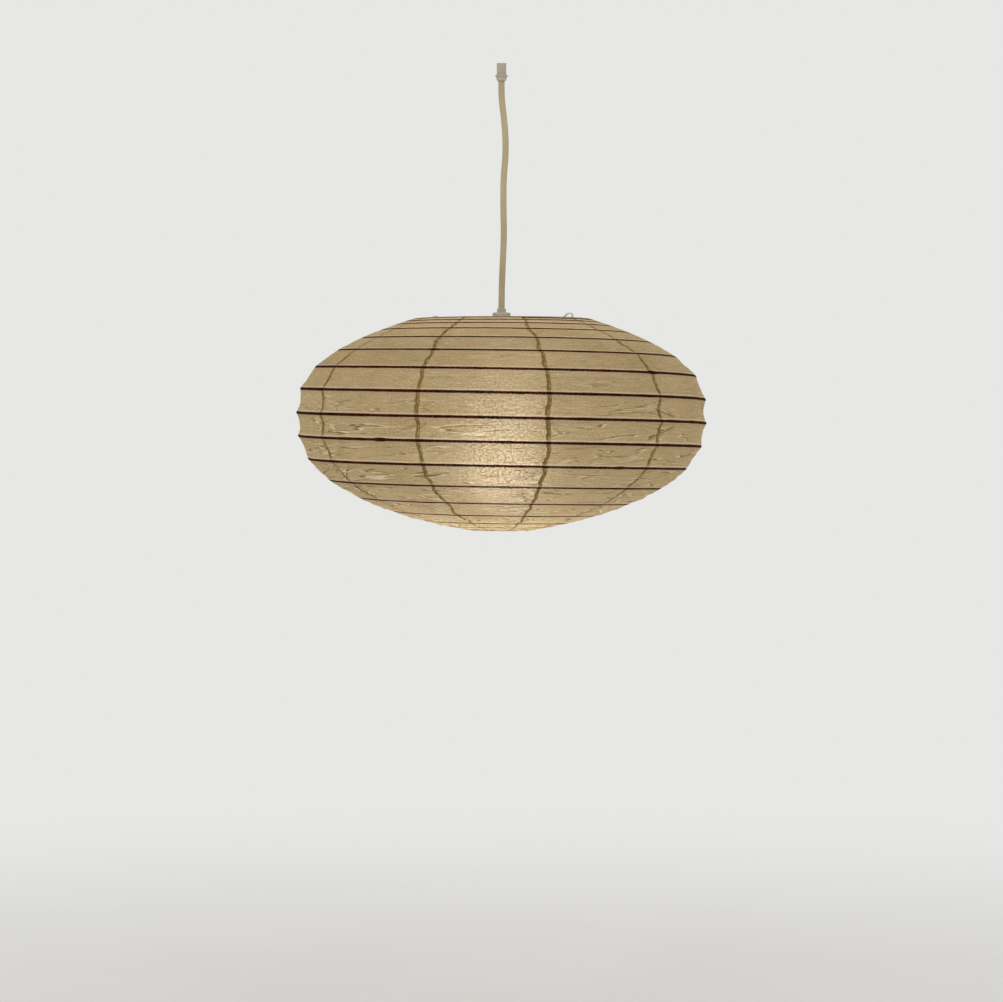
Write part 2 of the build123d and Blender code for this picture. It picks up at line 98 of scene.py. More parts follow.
# ================================================================ mesh helpers
def mesh_object(name, verts, faces, sharp=None):
    """Object from points in mm; edges sharper than that angle stay crisp."""
    mesh = bpy.data.meshes.new(name)
    mesh.from_pydata([(x * MM, y * MM, z * MM) for x, y, z in verts], [], faces)
    mesh.validate()
    mesh.update()
    mesh.shade_smooth()
    if sharp:
        mesh.set_sharp_from_angle(angle=math.radians(sharp))
    obj = bpy.data.objects.new(name, mesh)
    bpy.context.scene.collection.objects.link(obj)
    return obj


def bands(rows, cols, wrap_rows=False, wrap_cols=False):
    faces = []
    for i in range(rows if wrap_rows else rows - 1):
        for j in range(cols if wrap_cols else cols - 1):
            k, m = (i + 1) % rows, (j + 1) % cols
            faces.append((i * cols + j, i * cols + m, k * cols + m, k * cols + j))
    return faces


def rounded(points, radius, closed=False, steps=3):
    """Polyline with each corner rounded."""
    out = []
    n = len(points)
    for i, p in enumerate(points):
        if not closed and i in (0, n - 1):
            out.append(p)
            continue
        a, b, c = Vector(points[i - 1]), Vector(p), Vector(points[(i + 1) % n])
        r = radius[i - 1] if isinstance(radius, (list, tuple)) else radius
        if r <= 0 or (a - b).length < 1e-6 or (c - b).length < 1e-6:
            out.append(p)
            continue
        turn = (b - a).angle(c - b)
        cut = min(r * math.tan(turn / 2), 0.49 * (a - b).length, 0.49 * (c - b).length)
        s, e = b + (a - b).normalized() * cut, b + (c - b).normalized() * cut
        for k in range(steps + 1):
            t = k / steps
            out.append(tuple((1 - t) ** 2 * s + 2 * t * (1 - t) * b + t * t * e))
    return out


def lathe(name, profile, sides=96, closed=False, sharp=40, bump=None):
    """Turned solid: (radius, height) corners; bump(angle, radius, height) moves the skin out."""
    verts = []
    for r, z in profile:
        for j in range(sides):
            a = 2 * math.pi * j / sides
            q = max(r + (bump(a, r, z) if bump else 0.0), 0.001)
            verts.append((q * math.cos(a), q * math.sin(a), z))
    faces = bands(len(profile), sides, wrap_rows=closed, wrap_cols=True)
    if not closed:
        faces.append(tuple(range(sides)))
        faces.append(tuple(range((len(profile) - 1) * sides, len(profile) * sides))[::-1])
    return mesh_object(name, verts, faces, sharp)


def tube(name, path, outline, closed=False, up=(0, 1, 0)):
    """Outline swept along a path, its second axis kept near `up`."""
    verts = []
    n, sides = len(path), len(outline)
    for i, p in enumerate(path):
        p = Vector(p)
        before = Vector(path[i - 1]) if i or closed else p
        after = Vector(path[(i + 1) % n]) if i < n - 1 or closed else p
        along = (after - before).normalized()
        across = Vector(up).cross(along).normalized()
        high = along.cross(across)
        for x, y in outline:
            verts.append(tuple(p + across * x + high * y))
    faces = bands(n, sides, wrap_rows=closed, wrap_cols=True)
    if not closed:
        faces.append(tuple(range(sides)))
        faces.append(tuple(range((n - 1) * sides, n * sides))[::-1])
    return mesh_object(name, verts, faces, 60)


def circle(r, sides=12):
    return [(r * math.cos(2 * math.pi * k / sides), r * math.sin(2 * math.pi * k / sides))
            for k in range(sides)]


# ================================================================ materials
def socket_rgb(rgb):
    """sRGB 0-255 to the linear colour that a socket takes."""
    out = []
    for c in rgb:
        c /= 255
        out.append(c / 12.92 if c <= 0.04045 else ((c + 0.055) / 1.055) ** 2.4)
    return (*out, 1.0)


class Nodes:
    """Small helper round one material's node tree."""

    def __init__(self, name):
        self.material = bpy.data.materials.new(name)
        self.material.use_nodes = True
        self.tree = self.material.node_tree
        self.tree.nodes.clear()
        self.out = self.add("ShaderNodeOutputMaterial")

    def add(self, kind, **sets):
        node = self.tree.nodes.new(kind)
        for key, value in sets.items():
            setattr(node, key, value)
        return node

    def link(self, a, b):
        self.tree.links.new(a, b)

    def put(self, socket, value):
        if isinstance(value, bpy.types.NodeSocket):
            self.link(value, socket)
        else:
            socket.default_value = value

    def coords(self, scale=(1, 1, 1), kind="Object", turn=0.0):
        where = self.add("ShaderNodeTexCoord")
        vector = where.outputs[kind]
        if turn:
            spin = self.add("ShaderNodeMapping")
            self.link(vector, spin.inputs["Vector"])
            spin.inputs["Rotation"].default_value = (0, 0, turn)
            vector = spin.outputs["Vector"]
        mapping = self.add("ShaderNodeMapping")
        self.link(vector, mapping.inputs["Vector"])
        mapping.inputs["Scale"].default_value = scale
        return mapping.outputs["Vector"]

    def attribute(self, name):
        return self.add("ShaderNodeAttribute", attribute_name=name).outputs["Fac"]

    def noise(self, vector, scale, detail=4.0, rough=0.55):
        node = self.add("ShaderNodeTexNoise")
        self.link(vector, node.inputs["Vector"])
        node.inputs["Scale"].default_value = scale
        node.inputs["Detail"].default_value = detail
        node.inputs["Roughness"].default_value = rough
        return node.outputs["Fac"]

    def math(self, op, a, b=0.0):
        node = self.add("ShaderNodeMath", operation=op)
        self.put(node.inputs[0], a)
        self.put(node.inputs[1], b)
        return node.outputs[0]

    def ramp(self, value, low, high, a=0.0, b=1.0):
        """a where the value is low, b where it is high, eased between."""
        node = self.add("ShaderNodeMapRange", interpolation_type="SMOOTHSTEP")
        self.put(node.inputs["Value"], value)
        node.inputs["From Min"].default_value = low
        node.inputs["From Max"].default_value = high
        node.inputs["To Min"].default_value = a
        node.inputs["To Max"].default_value = b
        return node.outputs["Result"]

    def mix(self, fac, a, b):
        node = self.add("ShaderNodeMix", data_type="RGBA")
        self.put(node.inputs["Factor"], fac)
        self.put(node.inputs[6], a)     # sockets 6, 7 and 2 are the node's colours
        self.put(node.inputs[7], b)
        return node.outputs[2]

    def bump(self, height, strength, distance):
        node = self.add("ShaderNodeBump")
        self.put(node.inputs["Height"], height)
        node.inputs["Strength"].default_value = strength
        node.inputs["Distance"].default_value = distance
        return node.outputs["Normal"]


def surface(name, rgb, dark, rough, metal=0.0, grain=900.0, mottling=40.0, bump=0.15,
            depth=0.0002, spread=0.5, stretch=(1, 1, 1), coat=0.0):
    """Moulded, painted or metal skin: mottled colour, grained roughness and bump."""
    n = Nodes(name)
    where = n.coords(stretch)
    blotch = n.noise(where, mottling, 5)
    fine = n.noise(where, grain, 3, 0.6)
    colour = n.mix(n.ramp(blotch, 0.3, 0.72, 0.0, spread), socket_rgb(rgb), socket_rgb(dark))
    colour = n.mix(n.ramp(fine, 0.55, 0.75, 0.0, 0.25), colour, socket_rgb(dark))
    shader = n.add("ShaderNodeBsdfPrincipled")
    n.link(colour, shader.inputs["Base Color"])
    shader.inputs["Metallic"].default_value = metal
    shader.inputs["Coat Weight"].default_value = coat
    n.link(n.ramp(n.math("ADD", fine, blotch), 0.7, 1.3, rough * 0.85, min(rough * 1.2, 1.0)),
           shader.inputs["Roughness"])
    n.link(n.bump(fine, bump, depth), shader.inputs["Normal"])
    n.link(shader.outputs[0], n.out.inputs["Surface"])
    return n.material


def paper_material():
    """Cream mulberry paper with long fibres and creases, pasted over bamboo and at the seams.

    Creases and ribs carry painted shade and painted highlights, the seams painted shade.
    The flow coordinates are metres round and down the shade; the marks are in mm.
    """
    n = Nodes("lantern_paper")
    flow = n.coords((1, 1, 1), "UV")
    rib, side, seam = n.attribute("rib"), n.attribute("side"), n.attribute("seam")
    splice, faint = n.attribute("splice"), n.attribute("faint")
    cloud = n.noise(flow, 16, 5)
    fibre = n.noise(n.coords((9, 120, 1), "UV"), 6.0, 6, 0.62)
    fleck = n.noise(n.coords((30, 330, 1), "UV"), 8.0, 3, 0.5)
    speck = n.noise(flow, 620, 2)

    cream, warm, pale = (socket_rgb(c) for c in PAPER_TONES[:3])
    fleck_and_crease_shade_tone, seam_paste_and_shade_tone, seam_edge_paste_and_shade_tone = (socket_rgb(c) for c in PAPER_TONES[3:])
    colour = n.mix(n.ramp(cloud, 0.3, 0.7, 0.0, 0.8), cream, warm)
    colour = n.mix(n.ramp(fibre, 0.52, 0.7, 0.0, 0.5), colour, pale)
    colour = n.mix(n.ramp(fibre, 0.46, 0.30, 0.0, 0.35), colour, warm)
    colour = n.mix(n.ramp(fleck, 0.62, 0.72, 0.0, 0.35), colour, fleck_and_crease_shade_tone)
    colour = n.mix(n.ramp(speck, 0.54, 0.7, 0.0, 0.45), colour, pale)
    colour = n.mix(n.ramp(speck, 0.46, 0.3, 0.0, 0.28), colour, fleck_and_crease_shade_tone)

    # creases as thin lines of painted shade with a painted highlight on their lip, long ones
    # everywhere and slanting ones by the seams
    xyz = n.add("ShaderNodeSeparateXYZ")
    n.link(n.coords(), xyz.inputs[0])
    low = n.ramp(xyz.outputs["Z"], (widest_z + 45) * MM, (widest_z - 30) * MM, 0.25, 1.0)
    by_seam = n.ramp(seam, 42.0, 6.0)
    between = n.ramp(rib, 1.0, 4.5)
    crease_groove_and_shade, crease_lip_and_highlight = None, None
    for tilt, stretch, where in ((0, (5.2, 84, 1), None), (0.08, (6.5, 112, 1), None),
                                 (0.3, (8, 80, 1), by_seam), (-0.34, (7, 74, 1), by_seam)):
        field = n.noise(n.coords(stretch, "UV", tilt), 1.0, 2.7, 0.46)
        some = n.ramp(n.noise(n.coords((9, 36, 1), "UV", tilt), 1.3, 2.0), 0.4, 0.58)
        some = n.math("MULTIPLY", some, n.math("MULTIPLY", low, between))
        if where is not None:
            some = n.math("MULTIPLY", some, where)
        # each line's painted shade, and the painted highlight on the lip beside it
        dark = n.ramp(n.math("ABSOLUTE", n.math("SUBTRACT", field, 0.5)), 0.015, 0.003)
        lip = n.ramp(n.math("ABSOLUTE", n.math("SUBTRACT", field, 0.522)), 0.015, 0.004)
        dark, lip = n.math("MULTIPLY", dark, some), n.math("MULTIPLY", lip, some)
        crease_groove_and_shade = dark if crease_groove_and_shade is None else n.math("MAXIMUM", crease_groove_and_shade, dark)
        crease_lip_and_highlight = lip if crease_lip_and_highlight is None else n.math("MAXIMUM", crease_lip_and_highlight, lip)
    # a painted highlight on each crease's lip, then painted shade in the crease itself
    colour = n.mix(n.math("MULTIPLY", crease_lip_and_highlight, 0.8), colour, pale)
    colour = n.mix(n.math("MULTIPLY", crease_groove_and_shade, 0.85), colour, fleck_and_crease_shade_tone)

    # the glued seam: partly the paste's own tone, partly painted shade where two layers of paper
    # dim the lamp's light, darker along its ragged edges
    ragged = n.math("ADD", seam, n.ramp(n.noise(flow, 190, 2), 0.3, 0.7, -0.45, 0.45))
    inside = n.ramp(ragged, 0.35, -0.25)
    edge = n.math("MULTIPLY", n.ramp(ragged, -1.3, -0.5), inside)
    colour = n.mix(n.math("MULTIPLY", inside, 0.65), colour, seam_paste_and_shade_tone)
    colour = n.mix(n.math("MULTIPLY", edge, 0.62), colour, seam_edge_paste_and_shade_tone)

    # over the bamboo: a painted highlight above each rib and painted shade below it; between them
    # a dark line, partly the bamboo seen through the paper and partly its painted shadow
    above = n.math("MULTIPLY", n.ramp(side, 0.2, 0.8), n.ramp(rib, 3.2, 1.2))
    below = n.math("MULTIPLY", n.ramp(side, -0.2, -0.8), n.ramp(rib, 4.2, 1.2))
    colour = n.mix(n.math("MULTIPLY", above, 0.6), colour, socket_rgb((238, 220, 196)))
    colour = n.mix(n.math("MULTIPLY", below, 0.4), colour, socket_rgb((186, 160, 138)))
    # the rib's line: partly bamboo showing through the paper, partly painted shadow of the rib
    # against the lamp inside
    wander = n.ramp(n.noise(flow, 45, 2), 0.3, 0.7, -0.12, 0.12)
    reach = n.math("SUBTRACT", n.math("ADD", rib, wander), n.math("MULTIPLY", splice, 0.42))
    line = n.ramp(reach, 1.32, 0.9)
    bamboo = n.mix(n.ramp(n.noise(flow, 60, 3), 0.35, 0.65), socket_rgb((78, 34, 10)),
                   socket_rgb((54, 22, 6)))
    bamboo = n.mix(n.math("MULTIPLY", faint, 0.75), bamboo, socket_rgb((84, 50, 20)))
    colour = n.mix(line, colour, bamboo)

    height = n.math("ADD", n.math("MULTIPLY", fibre, 0.6), n.math("MULTIPLY", speck, 0.3))
    height = n.math("ADD", height, n.math("MULTIPLY", cloud, 1.2))
    height = n.math("SUBTRACT", height, n.math("MULTIPLY", crease_groove_and_shade, 0.6))
    height = n.math("ADD", height, n.math("MULTIPLY", crease_lip_and_highlight, 0.4))
    normal = n.bump(height, 0.5, 0.0006)

    front = n.add("ShaderNodeBsdfPrincipled")
    n.link(colour, front.inputs["Base Color"])
    front.inputs["Roughness"].default_value = 0.85
    front.inputs["Specular IOR Level"].default_value = 0.15
    n.link(normal, front.inputs["Normal"])
    through = n.add("ShaderNodeBsdfTranslucent")
    n.link(colour, through.inputs["Color"])
    n.link(normal, through.inputs["Normal"])
    both = n.add("ShaderNodeMixShader")
    both.inputs["Fac"].default_value = 0.5
    n.link(front.outputs[0], both.inputs[1])
    n.link(through.outputs[0], both.inputs[2])
    # part of the lamp's light goes nearly straight on, so the paper glows round the bulb
    onward = n.add("ShaderNodeBsdfRefraction")
    grains = n.ramp(n.noise(flow, 400, 2, 0.65), 0.42, 0.6)
    grains = n.mix(grains, socket_rgb((58, 50, 38)), socket_rgb((255, 252, 244)))
    n.link(n.mix(0.75, colour, grains), onward.inputs["Color"])
    onward.inputs["Roughness"].default_value = 0.8
    onward.inputs["IOR"].default_value = 1.3
    # its lobe follows the shade's round form and not each band's, so the glow is one spot
    flat = (2 * SHADE_R / (SHADE_RISE + SHADE_DROP)) ** 2
    outwards = n.add("ShaderNodeVectorMath", operation="SUBTRACT")
    n.link(n.coords((1, 1, flat)), outwards.inputs[0])
    outwards.inputs[1].default_value = (0, 0, flat * widest_z * MM)
    facing = n.add("ShaderNodeVectorTransform", vector_type="NORMAL", convert_from="OBJECT",
                   convert_to="WORLD")
    n.link(outwards.outputs[0], facing.inputs[0])
    unit = n.add("ShaderNodeVectorMath", operation="NORMALIZE")
    n.link(facing.outputs[0], unit.inputs[0])
    n.link(unit.outputs[0], onward.inputs["Normal"])
    whole = n.add("ShaderNodeMixShader")
    whole.inputs["Fac"].default_value = 0.055
    n.link(both.outputs[0], whole.inputs[1])
    n.link(onward.outputs[0], whole.inputs[2])
    n.link(whole.outputs[0], n.out.inputs["Surface"])
    return n.material


def bulb_material():
    """Frosted glass lit from within, dimmer round the neck."""
    n = Nodes("lit_frosted_glass")
    where = n.coords()
    cloud = n.noise(where, 60, 4)
    xyz = n.add("ShaderNodeSeparateXYZ")
    n.link(where, xyz.inputs[0])
    neck = n.ramp(xyz.outputs["Z"], (globe_z + 20) * MM, cap_bottom * MM)
    glow = n.mix(neck, socket_rgb((255, 240, 208)), socket_rgb((214, 188, 146)))
    glow = n.mix(n.ramp(cloud, 0.3, 0.7, 0.0, 0.25), glow, socket_rgb((246, 224, 184)))
    shader = n.add("ShaderNodeBsdfPrincipled")
    n.link(glow, shader.inputs["Base Color"])
    shader.inputs["Roughness"].default_value = 0.45
    n.link(glow, shader.inputs["Emission Color"])
    shader.inputs["Emission Strength"].default_value = 0.9
    n.link(n.bump(n.noise(where, 1500, 2), 0.1, 0.0002), shader.inputs["Normal"])
    n.link(shader.outputs[0], n.out.inputs["Surface"])
    return n.material


# cream, warm, pale, flecks and painted crease shade, seam and seam edges (paste with painted
# shade)
PAPER_TONES = ((194, 177, 141), (178, 159, 118), (234, 221, 194), (112, 90, 46),
               (222, 196, 110), (84, 62, 18))
PAPER = paper_material()
BAMBOO = surface("split_bamboo", (74, 42, 24), (38, 20, 12), 0.5, grain=1600, mottling=90,
                 bump=0.5, depth=0.0003, stretch=(1, 1, 6))
RIM = surface("painted_rim_wire", (150, 128, 96), (112, 92, 66), 0.45, mottling=160)
STEEL = surface("white_coated_wire", (222, 218, 208), (182, 176, 164), 0.35, mottling=120,
                coat=0.3)
ZINC = surface("zinc_plated_steel", (186, 188, 190), (132, 134, 138), 0.32, metal=1.0,
               mottling=220, spread=0.7)
HOLDER = surface("off_white_thermoset", (206, 200, 186), (178, 171, 154), 0.42,
                 mottling=70, grain=1400)
BRASS = surface("brass_contact", (198, 160, 88), (140, 104, 52), 0.3, metal=1.0,
                mottling=180)
SOLDER = surface("soldered_tip", (176, 176, 174), (122, 122, 122), 0.4, metal=1.0,
                 mottling=400, bump=0.6)
VITRITE = surface("black_insulator_glass", (22, 22, 26), (12, 12, 14), 0.2, coat=0.5)
CAP = surface("aluminium_screw_cap", (204, 204, 206), (158, 158, 162), 0.3, metal=1.0,
              mottling=260)
GLAND = surface("gland_nylon", (196, 188, 166), (166, 157, 132), 0.5, mottling=120)
RUBBER = surface("bush_rubber", (130, 124, 110), (100, 95, 84), 0.75, mottling=200)
FLEX = surface("flex_sheath", (196, 180, 144), (168, 150, 112), 0.42, grain=2600,
               mottling=60, stretch=(1, 1, 0.35), spread=0.6)
BULB = bulb_material()


def dress(obj, material, body=None, instead=()):
    obj.data.materials.clear()
    obj.data.materials.append(material)
    if body:
        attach(obj, body)
    if instead:
        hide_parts(*instead)


# ================================================================ camera
VIEW_SENSOR, VIEW_LENS = 36, 117.7       # mm
VIEW_FROM, VIEW_TO = (0.0, -3.36, -0.356), (0.0, 0.0, -0.4352)


def make_camera():
    data = bpy.data.cameras.new("view")
    data.sensor_width = VIEW_SENSOR
    data.lens = VIEW_LENS
    data.clip_start, data.clip_end = 0.1, 60
    cam = bpy.data.objects.new("view", data)
    bpy.context.scene.collection.objects.link(cam)
    cam.location = VIEW_FROM
    aim = Vector(VIEW_TO) - cam.location
    cam.rotation_mode = "QUATERNION"
    cam.rotation_quaternion = aim.to_track_quat("-Z", "Y")
    bpy.context.scene.camera = cam


make_camera()

# ================================================================ flex
# points from inside the lampholder up to the ceiling gland, (across, height)
FLEX_ROUTE = [(0.0, -252.0), (0.0, -222.0), (1.4, -190.0), (2.6, -162.0), (1.9, -134.0),
              (2.0, -106.0), (4.6, -78.0), (3.4, -50.0), (0.0, -24.0), (0.0, -14.5)]
CEILING_HEIGHTS = (-14.6, -13, -11.6, -10.2, -8.8, -7.4, -6.2)
GROOVE_DEPTH, GROOVE_HALF = 0.16, 0.7    # depth is a share of the flex's half thickness


def flex_outline(width, thick, sides=24):
    """Twin flex: two round cores side by side under one sheath, with a shallow groove."""
    r = thick / 2
    half = width / 2 - r
    out = []
    for k in range(sides):
        a = 2 * math.pi * k / sides
        x = r * math.cos(a) + half * (1 if math.cos(a) > 0 else -1 if math.cos(a) < 0 else 0)
        groove = GROOVE_DEPTH * math.exp(-(x / GROOVE_HALF) ** 2)
        out.append((x, r * math.sin(a) * (1 - groove)))
    return out


def make_flex():
    data = bpy.data.curves.new("flex_line", "CURVE")
    data.dimensions = "3D"
    spline = data.splines.new("NURBS")
    spline.points.add(len(FLEX_ROUTE) - 1)
    for point, (x, z) in zip(spline.points, FLEX_ROUTE):
        point.co = (x * MM, 0.0, z * MM, 1.0)
    spline.order_u = 3
    spline.use_endpoint_u = True
    data.resolution_u = 12
    line = bpy.data.objects.new("flex_line", data)
    bpy.context.scene.collection.objects.link(line)
    bpy.context.view_layer.update()
    measured = bpy.data.meshes.new_from_object(line)
    path = [tuple(v.co) for v in measured.vertices]
    bpy.data.objects.remove(line)
    if path[0][2] > path[-1][2]:
        path.reverse()
    piece = tube("flat_twin_flex", [(x / MM, y / MM, z / MM) for x, y, z in path],
                 flex_outline(FLEX_W, FLEX_T))
    dress(piece, FLEX, instead=("flex",))
    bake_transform(piece)
    top = tube("flex_at_ceiling", [(0, 0, z) for z in CEILING_HEIGHTS],
               flex_outline(FLEX_W, FLEX_T))
    dress(top, FLEX, instead=("flex_bend",))
    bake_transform(top)


make_flex()


# ================================================================ the shade's meridian
def shade_radius(z):
    if z >= widest_z:
        rise = min((z - widest_z) / SHADE_RISE, 1.0)
        return TOP_RIM_R + (SHADE_R - TOP_RIM_R) * (1 - rise**UPPER_FULLNESS)
    drop = min((widest_z - z) / SHADE_DROP, 1.0)
    return BOTTOM_RIM_R + (SHADE_R - BOTTOM_RIM_R) * \
        (1 - drop**LOWER_FULLNESS) ** (1 / LOWER_SHOULDER)


def meridian():
    heights = [widest_z + SHADE_RISE * math.cos(math.pi / 2 * i / 200) for i in range(200)]
    heights += [widest_z - SHADE_DROP * math.sin(math.pi / 2 * i / 200) for i in range(201)]
    points, s = [], 0.0
    for z in heights:
        r = shade_radius(z)
        if points:
            s += math.hypot(r - points[-1][1], z - points[-1][2])
        points.append((s, r, z))
    return points


MERIDIAN = meridian()
PAPER_LENGTH = MERIDIAN[-1][0]


def along_paper(s):
    lo, hi = 0, len(MERIDIAN) - 1
    while hi - lo > 1:
        mid = (lo + hi) // 2
        if MERIDIAN[mid][0] < s:
            lo = mid
        else:
            hi = mid
    a, b = MERIDIAN[lo], MERIDIAN[hi]
    t = (s - a[0]) / (b[0] - a[0])
    return a[1] + t * (b[1] - a[1]), a[2] + t * (b[2] - a[2])


def inside_paper(s, depth):
    r0, z0 = along_paper(max(s - 1.0, 0.0))
    r1, z1 = along_paper(min(s + 1.0, PAPER_LENGTH))
    run = math.hypot(r1 - r0, z1 - z0)
    r, z = along_paper(s)
    return r + depth * (z1 - z0) / run, z - depth * (r1 - r0) / run


def steepness(s):
    """1 where the paper stands upright, 0 where it lies level."""
    r0, z0 = along_paper(max(s - 1.0, 0.0))
    r1, z1 = along_paper(min(s + 1.0, PAPER_LENGTH))
    return (z0 - z1) / math.hypot(r1 - r0, z1 - z0)


def rib_place(turn):
    share = min(turn / RIB_TURNS, 1.0) ** RIB_EASE
    x = math.pi * share
    crowd = RIB_CROWD * math.sin(2 * x) / (2 * math.pi)
    pinch = RIB_PINCH * math.sin(4 * x) / (4 * math.pi)
    slip = RIB_SLIP * math.sin(3 * x) * math.sin(x)
    return RIB_HEM + (PAPER_LENGTH - 2 * RIB_HEM) * (share - crowd - pinch + slip)


def angle_of(turn):
    return math.radians(FIRST_SEAM + 360 * turn)


def ring_frame(edge, ridge):
    """Centre of the hem wire, unit step into the paper and unit step into the shade."""
    r0, z0 = inside_paper(edge, 0)
    r1, z1 = inside_paper(ridge, 0)
    run = math.hypot(r1 - r0, z1 - z0)
    t = ((r1 - r0) / run, (z1 - z0) / run)
    side = 1 if ridge > edge else -1
    n = (side * t[1], -side * t[0])
    inward = PAPER_T + PAPER_GAP + RING_WIRE_R
    return ((r0 + RING_WIRE_R * t[0] + inward * n[0], z0 + RING_WIRE_R * t[1] + inward * n[1]),
            t, n)


TOP_RING = ring_frame(0, rib_place(1))
BOTTOM_RING = ring_frame(PAPER_LENGTH, rib_place(RIB_TURNS - 1))

# ================================================================ paper gores
COLUMNS, FLAP_COLUMNS = 36, 3
BAND_STEPS, NARROW_BAND_STEPS = 12, 5
WIDE_BANDS = range(3, 15)
EDGE_BANDS = (0, RIB_TURNS)     # from the rims to the first and last ribs, with no bow
BOW, BOW_FADE = 0.16, 4         # depth of a scallop by its width, and how it fades on the level
WIDE_GAP = 25.0                 # bands this wide or wider have the full wrinkles
FLAP = 4.6                      # glued overlap at each seam
FLAP_TURN = FLAP / (2 * math.pi * SHADE_R)
FLAP_DEPTH = 0.3                # how far the flap lies under the next gore
HEM_GAP, HEM_LIP, HEM_STEPS = 0.25, 4.0, 8
SWAY_REACH, SWAY_RIM = 26.0, 25.0    # a seam's wandering ends so far from it and from the rims
STRIP_LAP = 6.0                 # of one length of bamboo over the next
SPLICE_REACH, SPLICE_FADE = 6.5, 2.0
RIM_REACH = 95.0                # from either rim, where the bamboo and its painted shadow show fainter
RIB_HALF_WIDTH, RIB_HALF_MORE = 1.3, 0.15
FAR, CLEAR = 9.0, 99.0          # rib marks of the hems and of the bands at the rims
FLOW_R = 0.2                    # radius in m that turns angles into flow coordinates


def round_noise(a, across, down, seed):
    """Noise that meets itself after a full turn."""
    return noise.noise(Vector((across * math.cos(a), across * math.sin(a), down + seed)))


def wrinkle(a, s, weight):
    """Small folds that run round the shade, and slanting ones; mm inwards."""
    long_folds = round_noise(a, 3.4, s * 0.17, 3.1)
    short = round_noise(a, 11.5, s * 0.34, 208.7)
    slant = round_noise(a + s / 124, 10.5, s * 0.05, 405.3)
    return weight * (0.75 * long_folds + 0.4 * short + 0.45 * slant)


def seam_sway(s, seam):
    """How far a hand-pasted seam wanders round the shade, in mm."""
    slow = noise.noise(Vector((s * 0.055, seam * 7.7, 1.5)))
    quick = noise.noise(Vector((s * 0.2, seam * 3.1, 9.2)))
    near_rim = min(1.0, s / SWAY_RIM, (PAPER_LENGTH - s) / SWAY_RIM)
    return near_rim * (3.4 * slow + 1.5 * quick)


def hem(place):
    """Meridian points of the hem: round the ring's wire and back inside, outermost last."""
    (rc, zc), t, n = place
    w = RING_WIRE_R + HEM_GAP
    points = [(rc + w * n[0] + lip * t[0], zc + w * n[1] + lip * t[1])
              for lip in (HEM_LIP, HEM_LIP / 2)]
    for k in range(HEM_STEPS + 1):
        f = math.pi * (1 - k / HEM_STEPS)
        points.append((rc - w * (n[0] * math.cos(f) + t[0] * math.sin(f)),
                       zc - w * (n[1] * math.cos(f) + t[1] * math.sin(f))))
    return points


TOP_HEM, BOTTOM_HEM = hem(TOP_RING), hem(BOTTOM_RING)


def near_splice(turn):
    """1 on the lapped joint between two strips, 0 away from it."""
    r = along_paper(rib_place(turn))[0]
    past = min(((turn - s) * 2 * math.pi * r for s in SPLICES[1:-1]), key=abs)
    return max(0.0, min(1.0, (SPLICE_REACH - abs(past - STRIP_LAP / 2)) / SPLICE_FADE))


def rim_share(s):
    """0 over most of the shade, 1 at either rim."""
    return max(0.0, 1 - min(s, PAPER_LENGTH - s) / RIM_REACH)


def flap_width(r):
    return FLAP * (r / SHADE_R) ** 0.7


